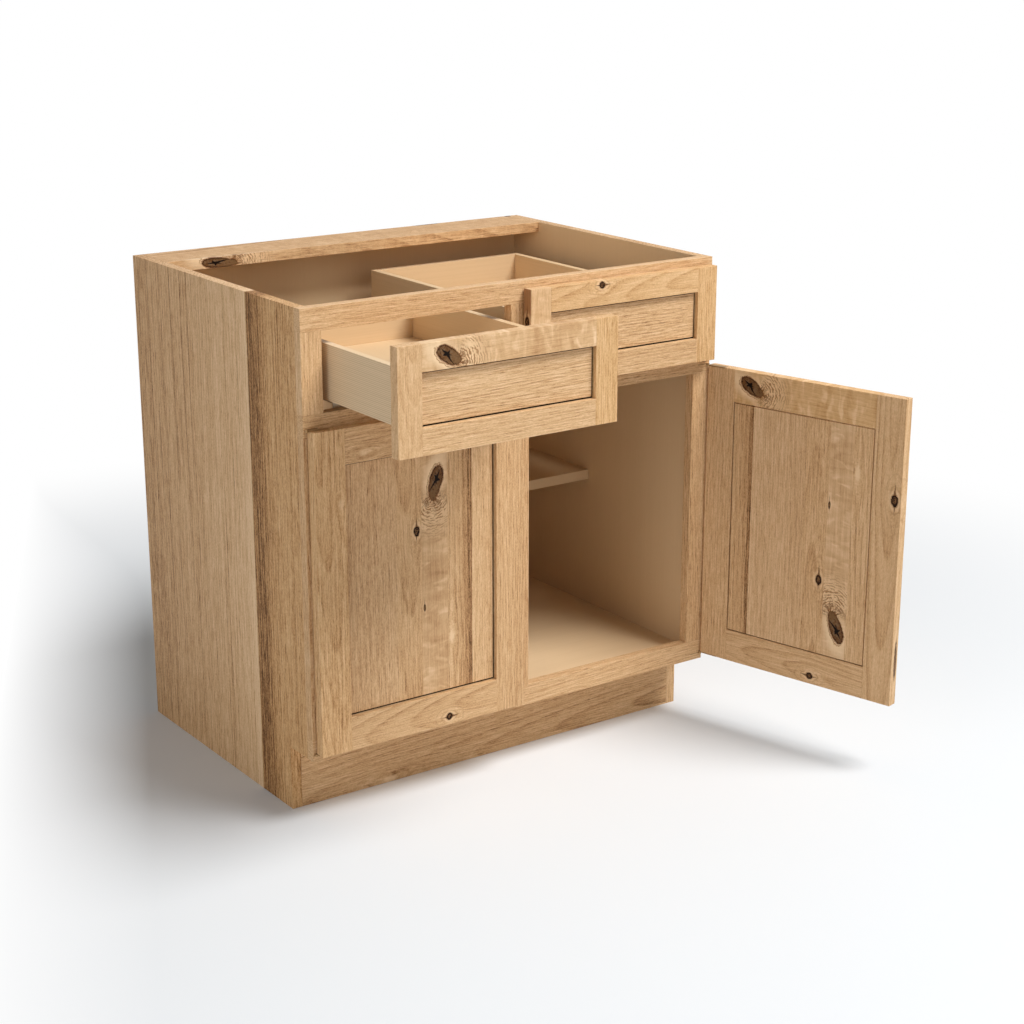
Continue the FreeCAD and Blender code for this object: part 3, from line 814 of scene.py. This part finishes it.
carcass = {
    "left_side_panel": {
        "run": "leftWall", "seed": 1.3, "lines": 0.12, "streaks": 0.3, "pith": (500, -300), "lined": lining,
        "strips": [
            {"seed": 0.62, "rings": 0.1, "saturation": 1.06,
             "stretches": [(-292.1, -206, 0.1, 0.08), (-206, -184, 0.1, 0.2), (-184, -161, 0.22, 0.4),
                           (-161, -135, 0.41, 0.38), (-135, -132, 0.36, 0.36)]},
            {"seed": 0.1, "curl": 0.0, "rings": 0.05,
             "stretches": [(-132, -106, -0.28, -0.16), (-106, 292.1, -0.11, 0.14)]},
        ],
    },
    "right_side_panel": {
        "run": "rightWall", "seed": 4.1, "lines": 0.12, "streaks": 0.28, "pith": (500, -300),
        "lined": {"pale": (0.76, 0.55, 0.33), "deep": (0.66, 0.465, 0.27)},
        "strips": [{"seed": 0.2, "curl": 0.0, "rings": 0.06, "stretches": [(-292.1, -90, 0.03, 0.06)]},
                   {"seed": 0.45, "curl": 0.0, "rings": 0.08, "stretches": [(-90, 60, -0.05, 0.02)]},
                   {"seed": 0.7, "curl": 0.0, "rings": 0.06, "stretches": [(60, 292.1, 0.12, 0.02)]}],
    },
    "back_panel": {"run": "stile", "seed": 2.2, "wood": lining, "lines": 0.3},
    "bottom_panel": {"run": "flat", "seed": 3.4, "wood": lining, "lines": 0.25},
    "half_shelf": {"run": "flat", "seed": 5.6, "wood": lining, "lines": 0.25,
                   "pale": (0.71, 0.51, 0.305), "deep": (0.61, 0.425, 0.245)},
    "back_stretcher": {
        "run": "flat", "seed": 6.2, "tone": 0.1, "rings": 0.22, "curl": 0.25,
        "knots": [{"at": (-300, -1), "size": (34, 9), "edge": -1, "turn": -4, "burl": True, "side": -1},
                  {"at": (200, 48.5), "size": (30, 2.6), "skin": 3},
                  {"at": (393, 46), "size": (7, 4.5), "skin": 3}],
    },
    "toe_kick": {
        "run": "rail", "seed": 7.7, "tone": 0.03, "rings": 0.36, "gap": 9, "pith": (-45, -40), "lean": 0.03,
        "tilt": 0.05, "streaks": 0.15,
        "knots": [{"at": (-224, -52), "size": (16, 6), "dark": 0, "pale": 0.8, "reach": 2.6, "swirl": 0.6}],
    },
}
layBoards("carcass", carcass, "stretcher")

faceFrame = {
    "top_rail": {"seed": 8.1, "tone": -0.03, "rings": 0.14, "pith": (70, -60)},
    "mid_rail": {"seed": 8.9, "tone": 0.06, "rings": 0.14, "pith": (90, -40)},
    "bottom_rail": {"seed": 9.3, "rings": 0.18, "pith": (-50, -30)},
    "left_upper_stile": {"seed": 10.2, "tone": -0.04},
    "centre_upper_stile": {"seed": 10.7, "tone": 0.02},
    "right_upper_stile": {"seed": 11.3, "tone": 0.02},
    "left_lower_stile": {
        "seed": 11.9, "tone": 0.05, "rings": 0.14,
        "knots": [{"at": (-117, 16), "size": (20, 4), "dark": 0, "pale": 0.35, "reach": 2.0, "swirl": 0.3}],
    },
    "centre_lower_stile": {"seed": 12.4, "tone": 0.03},
    "right_lower_stile": {"seed": 12.8, "tone": 0.02},
}
layBoards("carcass", faceFrame, "stile")

flatSawn = {"lines": 0.06, "dashes": 0.28, "rings": 0.28, "gap": 9}

leftDoor = {
    "left_door_hinge_stile": {
        "seed": 13.1, "tone": 0.01, "rings": 0.22, "pith": (4, -30), "tilt": 0.05,
        "streaks": 0.2, "saturation": 1.03,
        "knots": [{"at": (153, -19), "size": (9, 5), "dark": 0, "pale": 0.45, "reach": 2.0, "swirl": 0.2}],
    },
    "left_door_free_stile": {"seed": 13.6, "tone": 0.04, "rings": 0.12},
    "left_door_top_rail": {
        "seed": 14.2, "tone": 0.04, "rings": 0.3, "pith": (-40, -20),
        "knots": [{"at": (-112, -16), "size": (7, 5), "dark": 0, "pale": 0.5, "reach": 2.2, "swirl": 0.3}],
    },
    "left_door_bottom_rail": {
        **flatSawn, "seed": 14.9, "tone": 0.02, "pith": (-8, -25), "tilt": 0.1,
        "knots": [{"at": (47, -15), "size": (6.4, 6.0), "tail": 1, "reach": 2.6, "swirl": 1}],
    },
    "left_door_panel": {
        "run": "stile", "tongue": 10, "seed": 15.4, "lines": 0.08, "pith": (24, -40), "lean": 0.02,
        "tilt": 0.05, "gap": 9,
        "strips": [{"seed": 0.5, "rings": 0.1, "stretches": [(-154.1, -100.5, 0.03, -0.08)]},
                   {"seed": 0.75, "rings": 0.2, "stretches": [(-100.5, -97, 0.5, 0.4)]},
                   {"seed": 0.75, "rings": 0.3, "stretches": [(-97, -80, 0.4, 0.14)]},
                   {"seed": 0.75, "rings": 0.4, "stretches": [(-80, -52, 0.1, -0.05)]},
                   {"seed": 0.3, "curl": 0.6, "rings": 0.08, "saturation": 0.98,
                    "stretches": [(-52, -0.6, 0.1, 0.05)]},
                   {"seed": 0.9, "rings": 0.24, "stretches": [(-0.6, 48, 0.05, 0.03)]},
                   {"seed": 0.15, "curl": 0.0, "rings": 0.08, "saturation": 0.98,
                    "stretches": [(48, 154.1, 0.05, 0.07)]}],
        "knots": [{"at": (79, 9), "size": (8.4, 5.6), "tail": 1, "reach": 2.2, "swirl": 0.8,
                   "between": (-0.6, 60)},
                  {"at": (157, -29), "size": (30, 12.5), "turn": -16, "blunt": -1, "side": -1, "burl": True,
                   "between": (-52, -0.6)},
                  {"at": (-58, -5), "size": (6, 2.4), "dark": 0.8, "tail": 0.8, "between": (-52, -0.6)},
                  {"at": (-121, -59), "size": (12, 6), "dark": 0, "pale": 0.8, "reach": 2.0,
                   "between": (-100, -52)}],
    },
}
layBoards("left_door", leftDoor, "rail")

rightDoor = {
    "right_door_hinge_stile": {"seed": 16.3, "tone": -0.02, "rings": 0.12},
    "right_door_free_stile": {
        "seed": 16.8, "lines": 0.04, "dashes": 0.18, "tone": -0.03, "rings": 0.34, "gap": 10,
        "pith": (6, -32), "lean": 0.02, "tilt": 0.06,
        "knots": [{"at": (97, 16), "size": (10, 7), "tail": 1, "reach": 2.2, "swirl": 1},
                  {"at": (-195, 2), "size": (34, 4), "edge": 1, "dark": 0.75}],
    },
    "right_door_top_rail": {
        "seed": 17.2, "lines": 0.06, "dashes": 0.25, "tone": 0.01, "saturation": 1.07, "rings": 0.12,
        "curl": 0.75,
        "knots": [{"at": (108, 3), "size": (25.5, 13), "turn": 29, "blunt": -1, "burl": True}],
    },
    "right_door_bottom_rail": {
        **flatSawn, "seed": 17.9, "tone": -0.01, "pith": (-6, -28), "tilt": -0.1,
        "knots": [{"at": (-37, -15), "size": (6.6, 6.2), "tail": 1, "reach": 2.6, "swirl": 1}],
    },
    "right_door_panel": {
        "run": "stile", "tongue": 10, "seed": 18.5, "lines": 0.1, "pith": (36, -40), "lean": -0.02,
        "tilt": -0.05, "gap": 9,
        "strips": [{"seed": 0.75, "rings": 0.2,
                    "stretches": [(-154.1, -128, 0.03, 0.05), (-128, -110, 0.07, 0.16),
                                  (-110, -102, 0.25, 0.5)]},
                   {"seed": 0.15, "curl": 0.0, "rings": 0.06, "saturation": 0.98,
                    "stretches": [(-102, -82, -0.2, -0.08), (-82, 10, -0.05, -0.02)]},
                   {"seed": 0.9, "rings": 0.22, "stretches": [(10, 58, 0.0, 0.01)]},
                   {"seed": 0.3, "curl": 0.75, "rings": 0.08, "saturation": 0.98,
                    "stretches": [(58, 107, -0.05, -0.04)]},
                   {"seed": 0.5, "rings": 0.24, "stretches": [(107, 154.1, -0.06, -0.02)]}],
        "knots": [{"at": (-77, 47), "size": (9, 6), "tail": 1, "reach": 2.2, "swirl": 0.8,
                   "between": (0, 58)},
                  {"at": (-157, 86), "size": (31, 13), "turn": -22, "burl": True, "between": (58, 107)},
                  {"at": (65, 62), "size": (6.5, 2.4), "dark": 0.8, "tail": 0.8, "between": (58, 107)},
                  {"at": (132, 116), "size": (15, 6), "dark": 0, "pale": 0.85, "reach": 2.0,
                   "between": (107, 154.1)}],
    },
}
layBoards("right_door", rightDoor, "rail", doorOpen)

leftDrawer = {
    "left_drawer_front_left_stile": {
        **flatSawn, "seed": 19.2, "tone": -0.02, "gap": 8, "pith": (-8, -20), "lean": 0.06, "tilt": 0.12,
    },
    "left_drawer_front_right_stile": {"seed": 19.7, "tone": -0.03, "rings": 0.08, "saturation": 1.07},
    "left_drawer_front_top_rail": {
        "seed": 20.3, "lines": 0.06, "dashes": 0.25, "tone": 0.02, "rings": 0.1, "curl": 0.85,
        "knots": [{"at": (-112, -2), "size": (24.5, 12), "turn": -33, "burl": True}],
    },
    "left_drawer_front_bottom_rail": {"seed": 20.9, "tone": -0.07, "rings": 0.12},
    "left_drawer_front_panel": {
        "run": "rail", "tongue": 10, "seed": 21.4, "lines": 0.14, "dashes": 0.6, "tone": -0.05,
        "rings": 0.14, "pith": (120, -60), "lean": 0.05,
    },
    "left_drawer_left_side": {"seed": 22.1, "wood": birch, "lines": 0.4, "ribs": 0.5,
                              "pale": (0.76, 0.575, 0.37), "deep": (0.6, 0.44, 0.27)},
    "left_drawer_right_side": {"seed": 22.7, "wood": birch, "lines": 0.5},
    "left_drawer_box_front": {"run": "rail", "seed": 23.3, "wood": birch, "lines": 0.5},
    "left_drawer_box_back": {"run": "rail", "seed": 23.8, "wood": birch, "lines": 0.5},
    "left_drawer_bottom": {"seed": 24.2, "wood": birch, "lines": 0.3},
}
layBoards("left_drawer", leftDrawer, "rail")

rightDrawer = {
    "right_drawer_front_left_stile": {
        "seed": 25.1, "tone": -0.08, "rings": 0.08, "curl": 0.4,
        "edgeTone": (21.45, (0.3, 0.145, 0.064)),
        "knots": [{"at": (28, 0), "size": (10, 6), "edge": 1, "tail": 1}],
    },
    "right_drawer_front_right_stile": {"seed": 25.6, "tone": -0.01, "rings": 0.14, "saturation": 1.06},
    "right_drawer_front_top_rail": {
        "seed": 26.3, "lines": 0.05, "dashes": 0.24, "tone": -0.06, "saturation": 1.05,
        "rings": 0.38, "gap": 9, "pith": (-6, -26), "tilt": 0.1,
        "knots": [{"at": (-53, 14), "size": (6.4, 6), "tail": 1, "reach": 2.8, "swirl": 1}],
    },
    "right_drawer_front_bottom_rail": {"seed": 26.8, "tone": -0.02, "rings": 0.12},
    "right_drawer_front_panel": {
        "run": "rail", "tongue": 10, "seed": 27.4, "lines": 0.14, "dashes": 0.55, "tone": -0.02,
        "rings": 0.14, "pith": (-110, -60), "lean": 0.05,
    },
    "right_drawer_left_side": {"seed": 28.1, "wood": birch, "lines": 0.4},
    "right_drawer_right_side": {"seed": 28.6, "wood": birch, "lines": 0.4},
    "right_drawer_box_front": {"run": "rail", "seed": 29.2, "wood": birch, "lines": 0.4},
    "right_drawer_box_back": {"run": "rail", "seed": 29.7, "wood": birch, "lines": 0.4,
                              "pale": (0.735, 0.535, 0.325), "deep": (0.585, 0.405, 0.23)},
    "right_drawer_bottom": {"seed": 30.3, "wood": birch, "lines": 0.3},
}
layBoards("right_drawer", rightDrawer, "rail")


# metal fittings keep their CAD solids

fittings = {
    "slide_steel": {"colour": (0.55, 0.47, 0.36), "roughness": 0.34},
    "hinge_steel": {"colour": (0.42, 0.27, 0.13), "roughness": 0.42},
    "pin_steel": {"colour": (0.62, 0.61, 0.59), "roughness": 0.24},
}
fittingFinish = {slot: metal(slot, look["colour"], look["roughness"]) for slot, look in fittings.items()}
for node, slot in slotOf.items():
    if slot in fittingFinish:
        frame["nodes"][node].material_slots[0].material = fittingFinish[slot]
print("fittings finished:", len(fittingFinish))


# studio

studio = {
    "floorReach": 60.0,
    "floorColour": (0.71, 0.71, 0.71, 1),  # for bounced light
    "seenFloor": (0.8, 0.825, 0.846, 1),  # for the camera
    "floorMiddle": -0.45,
    "fade": (1.0, 2.2),  # metres from the middle over which the floor turns white
    "leftWay": (-0.91, 0.415),
    "leftFade": (0.4, 0.68),  # the same along leftWay
    "skyline": 0.94,
    "overhead": 0.15,
}
lamps = {
    "key": {"from": (1.7, -3.1, 5.2), "aim": (0.0, -0.5, 0.35), "size": 2.6, "power": 348.0},
    "fill": {"from": (-3.6, -1.9, 1.5), "aim": (0.0, -0.6, 0.45), "size": 2.2, "power": 24.0},
}


def viewRays(web):  # camera, glossy and transmission rays all see the white studio
    path = web.nodes.new("ShaderNodeLightPath").outputs
    return most(web, most(web, path["Is Camera Ray"], path["Is Glossy Ray"]), path["Is Transmission Ray"])


def floorFinish():
    finish = bpy.data.materials.new("studioFloor")
    web = blankWeb(finish)
    seen = viewRays(web)
    matt = web.nodes.new("ShaderNodeBsdfDiffuse")
    feed(web, matt.inputs["Color"], blend(web, seen, studio["floorColour"], studio["seenFloor"]))
    white = web.nodes.new("ShaderNodeEmission")
    x, y, _ = splitAxes(web, ownPlace(web))
    away = lengthOf(web, x, less(web, y, studio["floorMiddle"]))
    leftX, leftY = studio["leftWay"]
    left = addUp(web, times(web, x, leftX), times(web, y, leftY))
    far = most(web, spread(web, away, *studio["fade"], soft=True), spread(web, left, *studio["leftFade"]))
    mix = web.nodes.new("ShaderNodeMixShader")
    feed(web, mix.inputs[0], times(web, seen, far))
    web.links.new(matt.outputs[0], mix.inputs[1])
    web.links.new(white.outputs[0], mix.inputs[2])
    end = web.nodes.new("ShaderNodeOutputMaterial")
    web.links.new(mix.outputs[0], end.inputs[0])
    return finish


def layFloor():
    reach = studio["floorReach"]
    corners = [(-reach, -reach, 0), (reach, -reach, 0), (reach, reach, 0), (-reach, reach, 0)]
    mesh = bpy.data.meshes.new("floor")
    mesh.from_pydata(corners, [], [(0, 1, 2, 3)])
    mesh.materials.append(floorFinish())
    floor = addObject("floor", mesh)


def lightStudio():
    world = bpy.data.worlds.new("studio")
    bpy.context.scene.world = world
    web = blankWeb(world)
    back = web.nodes.new("ShaderNodeBackground")
    height = splitAxes(web, web.nodes.new("ShaderNodeTexCoord").outputs["Generated"])[2]
    low = sums(web, "POWER", less(web, 1.0, sizeOf(web, height)), 2.0)
    soft = spread(web, low, 0.0, 1.0, studio["overhead"], studio["skyline"])  # brightest near the skyline
    feed(web, back.inputs["Strength"], most(web, viewRays(web), soft))
    end = web.nodes.new("ShaderNodeOutputWorld")
    web.links.new(back.outputs[0], end.inputs[0])
    for name, given in lamps.items():
        lamp = bpy.data.lights.new(name, "AREA")
        lamp.shape = "DISK"
        lamp.size = given["size"]
        lamp.energy = given["power"]
        holder = addObject(name, lamp)
        holder.location = given["from"]
        aim = Vector(given["aim"]) - Vector(given["from"])
        holder.rotation_euler = aim.to_track_quat("-Z", "Y").to_euler()


layFloor()
lightStudio()
print("studio lit")

view = {
    "stand": (-1.9068, -3.29153, 1.4795),
    "azimuth": -35.113,
    "elevation": 16.952,
    "lens": 70.41,
    "sensor": 36.0,
    "farthest": 200.0,
}


def setCamera():
    lens = bpy.data.cameras.new("view")
    lens.lens = view["lens"]
    lens.sensor_width = view["sensor"]
    lens.clip_end = view["farthest"]
    camera = addObject("view", lens)
    camera.location = view["stand"]
    camera.rotation_euler = (math.radians(90 - view["elevation"]), 0.0, math.radians(view["azimuth"]))
    bpy.context.scene.camera = camera


setCamera()
bpy.context.scene.view_settings.view_transform = "Standard"
print("camera set")
